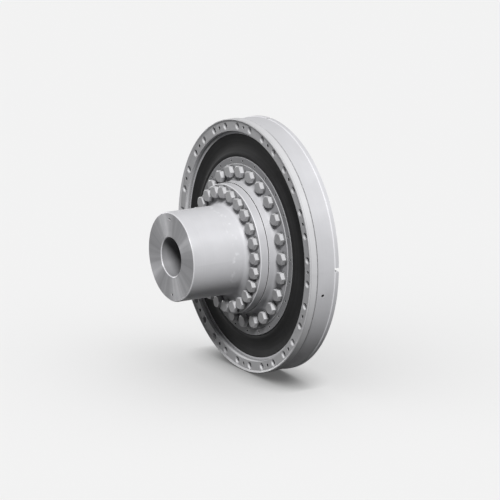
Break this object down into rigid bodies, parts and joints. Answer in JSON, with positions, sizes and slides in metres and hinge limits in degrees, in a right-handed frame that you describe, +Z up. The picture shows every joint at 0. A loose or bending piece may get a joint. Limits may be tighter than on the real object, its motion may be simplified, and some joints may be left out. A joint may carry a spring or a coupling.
{
  "type": "flexible shaft coupling",
  "caption": "Flexible rubber shaft coupling that joins an engine flywheel to a shaft and lets the two twist against each other a little.",
  "frame": {"origin": "centre of the rear face, which seats on the flywheel", "axes": "+Y along the axis into the flywheel, so -Y points to the nose of the shaft hub; +Z is up, at one of the air grooves; +X is to the right as seen from the nose"},
  "size_m": [0.8599, 0.388, 0.86],
  "materials": {
    "machined_steel": "fine turned",
    "bolt_steel": "satin, plain steel",
    "washer_steel": "satin, plain steel",
    "dark_steel": "blackened steel",
    "rubber": "matt"
  },
  "bodies": {
    "flywheel_side": {"front_flange": "machined_steel", "main_ring": "machined_steel", "element_outer_ring": "machined_steel", "rubber_element": "rubber", "ring_screws": "dark_steel", "ring_pins": "bolt_steel", "stop_blocks": "machined_steel", "stop_block_screws": "dark_steel"},
    "shaft_side": {"element_inner_ring": "machined_steel", "stop_ring": "machined_steel", "adapter": "machined_steel", "shaft_hub": "machined_steel", "adapter_bolts": "bolt_steel", "adapter_bolt_washers": "washer_steel", "hub_bolts": "bolt_steel", "hub_bolt_washers": "washer_steel", "adapter_pins": "bolt_steel", "hub_pins": "bolt_steel"}
  },
  "joints": [
    {"name": "torsion", "type": "hinge", "parent": "flywheel_side", "child": "shaft_side", "pos_m": [0, 0, 0], "axis": [0, 1, 0], "range_deg": [-10, 10], "stiffness_Nm_per_rad": 95000, "deforming": ["rubber_element"]}
  ]
}
